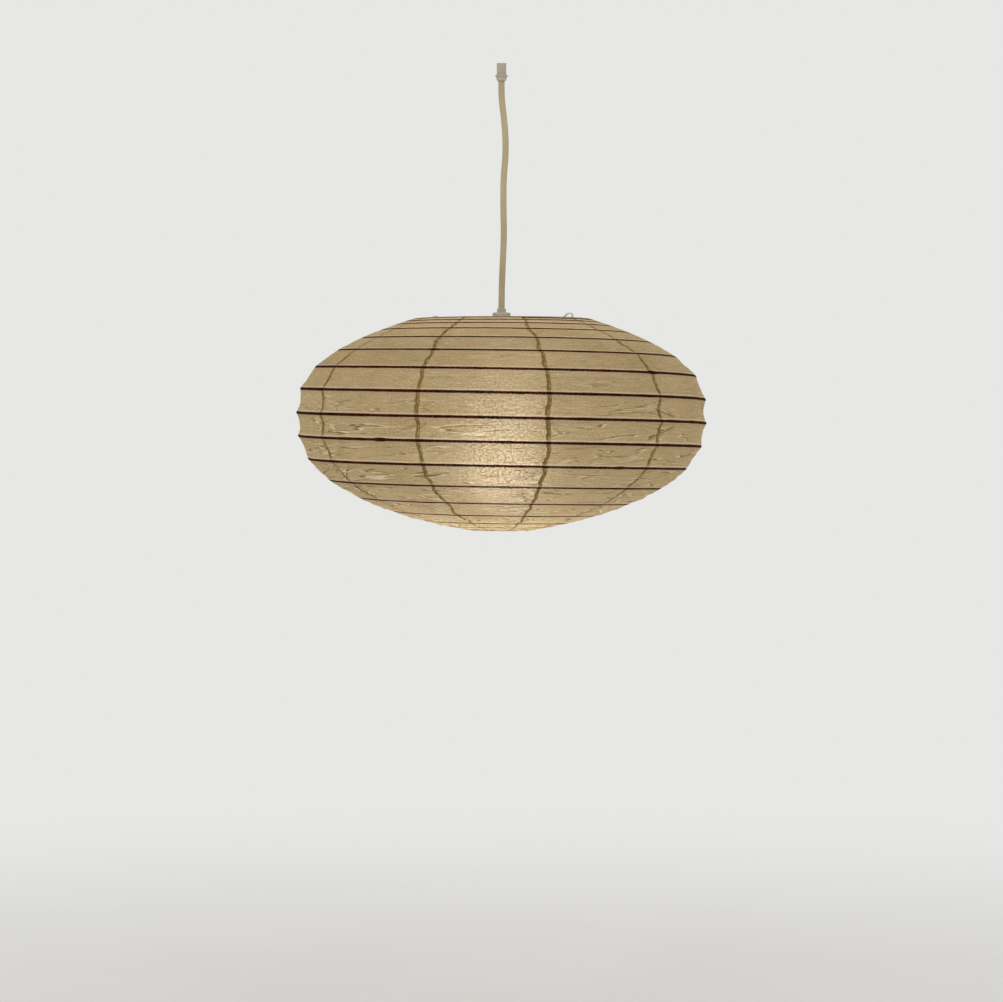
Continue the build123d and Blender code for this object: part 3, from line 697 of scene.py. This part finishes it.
def make_gore(number):
    """One gore with its flap, the marks that its material reads, and its hems round the rings."""
    first = number / GORES
    verts, uvs = [], []
    marks = {"rib": [], "side": [], "seam": [], "splice": [], "faint": []}
    for col in range(COLUMNS + FLAP_COLUMNS + 1):
        within = min(col, COLUMNS) / COLUMNS
        past = max(col - COLUMNS, 0) / FLAP_COLUMNS
        base_turn = first + within / GORES + past * FLAP_TURN
        column = []
        a = angle_of(base_turn)
        ridges = [rib_place(k + base_turn) for k in range(RIB_TURNS)]
        for r, z in TOP_HEM:
            column.append((r, z, 0.0, FAR, 0.0, 0.0))
        stops = [RING_WIRE_R] + ridges + [PAPER_LENGTH - RING_WIRE_R]
        for k, (upper, lower) in enumerate(zip(stops, stops[1:])):
            gap = lower - upper
            steps = BAND_STEPS if k in WIDE_BANDS else NARROW_BAND_STEPS
            bow = BOW * gap * steepness((upper + lower) / 2) ** BOW_FADE
            if k in EDGE_BANDS:
                bow = 0.0
            for i in range(steps):
                f = i / steps
                s = upper + gap * f
                hollow = 4 * f * (1 - f)
                low = max(0.0, (widest_z - along_paper(s)[1]) / SHADE_DROP)
                fold = wrinkle(a, s, hollow * min(gap / WIDE_GAP, 1.0) * (0.8 + low))
                r, z = inside_paper(s, bow * hollow + fold)
                over = f * gap if k else CLEAR
                under = (1 - f) * gap if k < RIB_TURNS else CLEAR
                near = k - 1 + base_turn if f < 0.5 else k + base_turn
                ridge_turn = min(max(near, 0.0), RIB_TURNS)
                side = -1.0 if over < under else 1.0
                column.append((r, z, s, min(over, under), side if i else 0.0,
                               near_splice(ridge_turn)))
        for r, z in BOTTOM_HEM[::-1]:
            column.append((r, z, PAPER_LENGTH, FAR, 0.0, 0.0))
        rows = len(column)
        for r, z, s, rib, side, splice in column:
            flap = flap_width(r)
            width = 2 * math.pi * r / GORES
            across = (base_turn - first) * 2 * math.pi * r
            under_next = r - FLAP_DEPTH * min(past * 3, 1.0)
            seam = number if across < width / 2 else (number + 1) % GORES
            away = min(abs(across), abs(across - width))
            sway = seam_sway(s, seam) * max(0.0, 1 - away / SWAY_REACH) ** 2
            b = a + sway / r
            verts.append((under_next * math.cos(b), under_next * math.sin(b), z))
            uvs.append((a * FLOW_R, s * MM))
            faint = rim_share(s)
            marks["rib"].append(rib / (RIB_HALF_WIDTH + RIB_HALF_MORE * faint))
            marks["side"].append(side)
            centre = flap / 2 if across < width / 2 else width + flap / 2
            marks["seam"].append(abs(across - centre) - flap / 2)
            marks["splice"].append(splice)
            marks["faint"].append(faint)
    faces = bands(COLUMNS + FLAP_COLUMNS + 1, rows)
    obj = mesh_object(f"paper_sheet_{number + 1:02d}", verts, faces)
    mesh = obj.data
    layer = mesh.uv_layers.new(name="flow")
    for loop in mesh.loops:
        layer.data[loop.index].uv = uvs[loop.vertex_index]
    for name, values in marks.items():
        mesh.attributes.new(name, "FLOAT", "POINT").data.foreach_set("value", values)
    dress(obj, PAPER, "shade", (f"paper_gore_{number + 1:02d}",))


for number in range(GORES):
    make_gore(number)


# ================================================================ bamboo and rings
STEPS_PER_TURN = 110
GLUE_DEPTH = 0.3    # under the paper, where the strip begins
# split side flat inwards, rounded skin side outwards, (down the paper, depth)
STRIP_OUTLINE = [(0.0, 0.46), (0.42, 0.55), (0.72, 0.86), (0.86, 1.35), (0.88, 1.9),
                 (0.4, 2.02), (-0.35, 1.98), (-0.88, 1.93), (-0.86, 1.35), (-0.72, 0.86),
                 (-0.42, 0.55)]


def make_strip(number):
    start, end = SPLICES[number], SPLICES[number + 1]
    r_end = along_paper(rib_place(end))[0]
    lap = STRIP_LAP / (2 * math.pi * r_end) if number < len(SPLICES) - 2 else 0.0
    steps = max(int((end - start) * STEPS_PER_TURN), 12)
    verts = []
    for i in range(steps + 1):
        turn = start + (end + lap - start) * i / steps
        a = angle_of(turn)
        s = rib_place(turn)
        fat = 1 + 0.06 * noise.noise(Vector((turn * 9, number, 0.5)))
        knot = 1 + 0.12 * math.exp(-((turn * 3.1 + number * 0.37) % 1 - 0.5) ** 2 / 0.0006)
        for down, depth in STRIP_OUTLINE:
            r, z = inside_paper(s + down * fat * knot, GLUE_DEPTH + (depth - GLUE_DEPTH) * fat)
            verts.append((r * math.cos(a), r * math.sin(a), z))
    n = len(STRIP_OUTLINE)
    faces = bands(steps + 1, n, wrap_cols=True)
    faces.append(tuple(range(n)))
    faces.append(tuple(range(steps * n, steps * n + n))[::-1])
    obj = mesh_object(f"bamboo_{number + 1:02d}", verts, faces, 50)
    dress(obj, BAMBOO, "shade", (f"bamboo_strip_{number + 1:02d}",))


for number in range(len(SPLICES) - 1):
    make_strip(number)


def make_ring(name, place, instead):
    r, z = place[0]
    path = [(r * math.cos(2 * math.pi * k / 144), r * math.sin(2 * math.pi * k / 144), z)
            for k in range(144)]
    ring = tube(name, path, circle(RING_WIRE_R), closed=True, up=(0, 0, 1))
    dress(ring, RIM, "shade", (instead,))


make_ring("top_rim_wire", TOP_RING, "top_ring")
make_ring("bottom_rim_wire", BOTTOM_RING, "bottom_ring")

# ================================================================ expander
bend_r = RING_WIRE_R + WIRE_GAP + WIRE_R
hook_r = TOP_RING[0][0] - bend_r
hook_low = TOP_RING[0][1] - bend_r
hook_high = shade_top + HOOK_RISE
weld_r = EXPANDER_RING_R + WIRE_R
foot_r = BOTTOM_RING[0][0] - bend_r
foot_z = BOTTOM_RING[0][1] + bend_r * math.tan(math.radians(90 - FOOT_SLOPE) / 2)
leg_bottom = foot_z + (LEG_R - foot_r) * math.tan(math.radians(FOOT_SLOPE))
leg_straight = expander_ring_bottom - LEG_TOP_DROP
EXPANDER = [(TOP_RING[0][0] + HOOK_TIP, hook_low), (hook_r, hook_low), (hook_r, hook_high),
            (hook_r - HOOK_HUMP, hook_high), (weld_r, washer_bottom), (weld_r, leg_straight),
            (LEG_R, leg_straight - LEG_FLARE_DROP), (LEG_R, leg_bottom), (foot_r, foot_z),
            (foot_r, BOTTOM_RING[0][1] - FOOT_TIP)]
EXPANDER_BENDS = [bend_r, bend_r] + [4.0] * 5 + [bend_r]


def make_wire(number, degrees):
    a = math.radians(degrees)
    flat = rounded(EXPANDER, EXPANDER_BENDS, steps=8)
    path = [(r * math.cos(a), r * math.sin(a), z) for r, z in flat]
    wire = tube(f"spreader_wire_{number}", path, circle(WIRE_R, 14),
                up=(-math.sin(a), math.cos(a), 0))
    dress(wire, STEEL, "shade", (f"expander_wire_{number}",))


make_wire(1, -35.0)
make_wire(2, 145.0)

ring = lathe("spreader_ring", rounded([(SEAT_RING_BORE_R, expander_ring_bottom),
                                       (EXPANDER_RING_R, expander_ring_bottom),
                                       (EXPANDER_RING_R, washer_bottom),
                                       (SEAT_RING_BORE_R, washer_bottom)],
                                      0.5, closed=True), closed=True)
dress(ring, STEEL, "shade", ("expander_ring",))


# ================================================================ lampholder
SEAT_GAP = 0.04     # between faces that are seated on each other, so that none is shared
BARREL_PITCH, CAP_PITCH, GLAND_PITCH = 2.5, 3.63, 1.0


def thread(pitch, depth):
    def bump(a, r, z):
        phase = (z / pitch + a / (2 * math.pi)) % 1.0
        return depth * (0.5 - 0.5 * math.cos(2 * math.pi * phase)) - depth
    return bump


def dense(points, step):
    """Profile with its long runs cut into short ones."""
    out = [points[0]]
    for a, b in zip(points, points[1:]):
        n = max(int(math.dist(a, b) / step), 1)
        out += [(a[0] + (b[0] - a[0]) * k / n, a[1] + (b[1] - a[1]) * k / n)
                for k in range(1, n + 1)]
    return out


def make_lampholder():
    cap = rounded([(NECK_BORE_R, neck_top), (NECK_R, neck_top), (NECK_R, shoulder_top),
                   (BARREL_R, skirt_top), (BARREL_R, flange_top), (NECK_BORE_R, flange_top)],
                  1.2, closed=True, steps=4)

    def flutes(a, r, z):
        grip = skirt_top - 3.0 > z > flange_top + 3.0 and r > BARREL_R - 0.5
        return -0.35 * (math.cos(a * 36) > 0.35) if grip else 0.0

    dense_cap = dense(cap + cap[:1], 1.5)[:-1]
    piece = lathe("lampholder_cap", dense_cap, 288, closed=True, bump=flutes)
    dress(piece, HOLDER, "pendant", ("holder_cap",))

    def barrel_thread(a, r, z):
        if r > BARREL_R - 0.1 and z < flange_bottom - 0.8:
            return thread(BARREL_PITCH, 0.55)(a, r, z)
        return 0.0

    outer = rounded([(FLANGE_R, flange_top), (FLANGE_R, flange_bottom),
                     (BARREL_R, flange_bottom), (BARREL_R, barrel_bottom),
                     (SOCKET_R, barrel_bottom), (SOCKET_R, floor_bottom),
                     (0.3, floor_bottom), (0.3, flange_top)], 0.5, closed=True, steps=2)
    piece = lathe("lampholder_body", dense(outer + outer[:1], 0.35)[:-1], 96, closed=True,
                  bump=barrel_thread, sharp=55)
    dress(piece, HOLDER, "pendant", ("holder_body",))

    low, high = washer_bottom + SEAT_GAP, flange_bottom - SEAT_GAP
    washer = rounded([(SEAT_RING_BORE_R, low), (WASHER_R, low), (WASHER_R, high),
                      (SEAT_RING_BORE_R, high)], 0.25, closed=True)
    piece = lathe("shade_washer_disc", washer, 96, closed=True)
    dress(piece, ZINC, "shade_seat", ("shade_washer",))

    top = expander_ring_bottom - SEAT_GAP
    lip = top - SHADE_RING_LIP_H

    def notches(a, r, z):
        if r < SHADE_RING_SKIRT_R - 0.1 or z < lip - 0.1:
            return 0.0
        return -1.1 * max(0.0, math.cos(a * 24)) ** 2

    profile = rounded([(SHADE_RING_BORE_R, top), (SHADE_RING_LIP_R, top),
                       (SHADE_RING_LIP_R, lip), (SHADE_RING_SKIRT_R, lip),
                       (SHADE_RING_SKIRT_R, top - SHADE_RING_H),
                       (SHADE_RING_BORE_R, top - SHADE_RING_H)], 0.6, closed=True)
    piece = lathe("shade_ring_nut", dense(profile + profile[:1], 0.8)[:-1], 240, closed=True,
                  bump=notches)
    dress(piece, HOLDER, "shade_ring", ("shade_ring",))

    grip_top = -CORD_DROP
    tail = neck_top - GRIP_TAIL_H
    grip = rounded([(GRIP_BORE_R, grip_top), (GRIP_R, grip_top), (GRIP_R, neck_top),
                    (GRIP_TAIL_R, neck_top), (GRIP_TAIL_R, tail), (GRIP_BORE_R, tail)],
                   0.35, closed=True)

    def knurl(a, r, z):
        outside = r > GRIP_R - 0.2 and neck_top < z < grip_top - 0.6
        return -0.18 * (math.cos(a * 20) > 0) if outside else 0

    piece = lathe("cord_grip_collar", dense(grip + grip[:1], 0.6)[:-1], 160, closed=True,
                  bump=knurl)
    dress(piece, HOLDER, "pendant", ("cord_grip",))


make_lampholder()


# ================================================================ bulb
GLOBE_LIFT = math.radians(42)       # above level, where the globe meets the neck's curve
GLOBE_STEPS, WAIST_STEPS = 32, 9
CAP_THREAD_R, CAP_THREAD_TOP, CAP_THREAD_STEP, CAP_THREAD_STEPS = 12.9, 1.8, 0.3, 56
CAP_SKIRT_R, CAP_SKIRT_DROP = 13.1, 19.4


def make_bulb():
    profile = [(12.6, cap_bottom + 0.5), (12.8, cap_bottom - 1), (13.2, cap_bottom - 6),
               (14.0, cap_bottom - 12)]
    # a cubic curve from the neck into the globe
    across, height = profile[-1]
    start, leave = Vector((across, height)), Vector((across + 0.6, height - 6))
    end = Vector((BULB_R * math.cos(GLOBE_LIFT), globe_z + BULB_R * math.sin(GLOBE_LIFT)))
    arrive = end - Vector((math.sin(GLOBE_LIFT), -math.cos(GLOBE_LIFT))) * 7
    for k in range(1, WAIST_STEPS):
        t = k / WAIST_STEPS
        profile.append(tuple(start * (1 - t) ** 3 + leave * 3 * t * (1 - t) ** 2
                             + arrive * 3 * t * t * (1 - t) + end * t ** 3))
    for k in range(GLOBE_STEPS + 1):
        f = GLOBE_LIFT - (GLOBE_LIFT + math.pi / 2) * k / GLOBE_STEPS
        profile.append((max(BULB_R * math.cos(f), 0.02), globe_z + BULB_R * math.sin(f)))
    glass = lathe("frosted_bulb", profile, 72, sharp=None)
    dress(glass, BULB, "bulb", ("bulb_glass",))

    thread_top = cap_top - CAP_THREAD_TOP
    shell = [(0.05, cap_top), (11.0, cap_top), (12.2, cap_top - 0.6)]
    shell += [(CAP_THREAD_R, thread_top - CAP_THREAD_STEP * k)
              for k in range(CAP_THREAD_STEPS + 1)]
    shell += [(CAP_SKIRT_R, cap_top - CAP_SKIRT_DROP), (CAP_SKIRT_R, cap_bottom),
              (0.05, cap_bottom)]

    def cap_thread(a, r, z):
        if r > CAP_THREAD_R - 0.1 and thread_top - 0.1 > z > thread_top - 17.0:
            return thread(CAP_PITCH, 0.9)(a, r, z) + 0.3
        return 0.0

    cap = lathe("bulb_screw_cap", shell, 72, bump=cap_thread, sharp=50)
    dress(cap, CAP, "bulb", ("bulb_cap",))


make_bulb()


# ================================================================ ceiling gland
def make_gland():
    def stub_thread(a, r, z):
        if abs(r - GLAND_STUB_R) < 0.1 and 0.6 < z < GLAND_STUB_H - 0.4:
            return thread(GLAND_PITCH, 0.35)(a, r, z)
        return 0.0

    body = rounded([(GLAND_BORE_R, GLAND_STUB_H), (GLAND_STUB_R, GLAND_STUB_H),
                    (GLAND_STUB_R, 0), (GLAND_FLANGE_R, 0),
                    (GLAND_FLANGE_R, -GLAND_FLANGE_T), (GLAND_BORE_R, -GLAND_FLANGE_T)],
                   0.25, closed=True, steps=2)
    piece = lathe("gland_stub", dense(body + body[:1], 0.2)[:-1], 64, closed=True,
                  bump=stub_thread, sharp=55)
    dress(piece, GLAND, "ceiling_fitting", ("gland_body",))
    nose = rounded([(GLAND_CAP_BORE_R, -GLAND_FLANGE_T), (GLAND_CAP_R, -GLAND_FLANGE_T),
                    (GLAND_CAP_R - 0.2, -3.2), (GLAND_NOSE_R, gland_bottom),
                    (GLAND_CAP_BORE_R, gland_bottom)], 0.4, closed=True)

    def facets(a, r, z):
        side = r > 5.0 and z < -GLAND_FLANGE_T - 0.3
        return -0.3 * max(0.0, math.cos(a * 12)) if side else 0.0

    piece = lathe("gland_nut", dense(nose + nose[:1], 0.4)[:-1], 144, closed=True, bump=facets)
    dress(piece, GLAND, "ceiling_fitting", ("gland_cap",))


make_gland()

# ================================================================ CAD nodes that stay
for node, material in (("screw_shell", BRASS), ("centre_contact", BRASS),
                       ("bulb_tip", SOLDER), ("bulb_insulator", VITRITE),
                       ("gland_bush", RUBBER), ("flex_fixed", FLEX)):
    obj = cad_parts[node]
    obj.data.materials.clear()
    obj.data.materials.append(material)


# ================================================================ lamps, floor and backdrop
BACKDROP = (0.80, 0.80, 0.79)
FLOOR_HALF, FLOOR_Z = 9000, -1000   # mm; the lantern hangs 0.53 m above the floor


def make_stage():
    verts = [(x * FLOOR_HALF, y * FLOOR_HALF, FLOOR_Z)
             for x, y in ((-1, -1), (1, -1), (1, 1), (-1, 1))]
    floor = mesh_object("floor", verts, [(0, 1, 2, 3)])
    n = Nodes("pale_floor")
    where = n.coords()
    away = n.add("ShaderNodeVectorMath", operation="LENGTH")
    n.link(where, away.inputs[0])
    fade = n.ramp(away.outputs["Value"], 0.5, 2.4)
    plain = n.add("ShaderNodeBsdfPrincipled")
    tone = n.mix(n.ramp(n.noise(where, 3.0, 4), 0.3, 0.7), (0.90, 0.90, 0.89, 1),
                 (0.93, 0.93, 0.92, 1))
    n.link(tone, plain.inputs["Base Color"])
    plain.inputs["Roughness"].default_value = 0.9
    far = n.add("ShaderNodeEmission")
    far.inputs["Color"].default_value = (*BACKDROP, 1)
    both = n.add("ShaderNodeMixShader")
    n.link(fade, both.inputs["Fac"])
    n.link(plain.outputs[0], both.inputs[1])
    n.link(far.outputs[0], both.inputs[2])
    n.link(both.outputs[0], n.out.inputs["Surface"])
    floor.data.materials.append(n.material)

    world = bpy.data.worlds.new("studio")
    bpy.context.scene.world = world
    world.use_nodes = True
    tree = world.node_tree
    tree.nodes.clear()
    out = tree.nodes.new("ShaderNodeOutputWorld")
    shown, light = tree.nodes.new("ShaderNodeBackground"), tree.nodes.new("ShaderNodeBackground")
    shown.inputs["Color"].default_value = (*BACKDROP, 1)
    light.inputs["Color"].default_value = (1.0, 0.98, 0.95, 1)
    light.inputs["Strength"].default_value = 0.55
    ray = tree.nodes.new("ShaderNodeLightPath")
    pick = tree.nodes.new("ShaderNodeMixShader")
    tree.links.new(ray.outputs["Is Camera Ray"], pick.inputs["Fac"])
    tree.links.new(light.outputs[0], pick.inputs[1])
    tree.links.new(shown.outputs[0], pick.inputs[2])
    tree.links.new(pick.outputs[0], out.inputs["Surface"])


def lamp(name, kind, place, energy, size, rgb, aim=None):
    data = bpy.data.lights.new(name, kind)
    data.energy = energy
    data.color = rgb
    if kind == "AREA":
        data.size = size
    else:
        data.shadow_soft_size = size
    obj = bpy.data.objects.new(name, data)
    obj.location = place
    if aim:
        obj.rotation_mode = "QUATERNION"
        obj.rotation_quaternion = (Vector(aim) - Vector(place)).to_track_quat("-Z", "Y")
    bpy.context.scene.collection.objects.link(obj)
    return obj


make_stage()
SHADE_MIDDLE = (0, 0, -0.36)
lamp("key", "AREA", (-1.6, -2.4, 1.1), 16, 1.6, (1.0, 0.97, 0.92), SHADE_MIDDLE)
lamp("fill", "AREA", (2.2, -1.6, 0.2), 6, 1.8, (0.95, 0.97, 1.0), SHADE_MIDDLE)
lamp("rim", "AREA", (0.6, 2.4, 0.9), 8, 1.4, (1.0, 0.98, 0.95), SHADE_MIDDLE)
# the lamp in the bulb goes with it, and its light passes the frosted glass
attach(lamp("filament", "POINT", (0, 0, (globe_z - 9) * MM), 0.8, 0.031,
             (1.0, 0.90, 0.76)), "bulb")
bpy.data.objects["frosted_bulb"].visible_shadow = False
bpy.context.scene.view_settings.view_transform = "Standard"
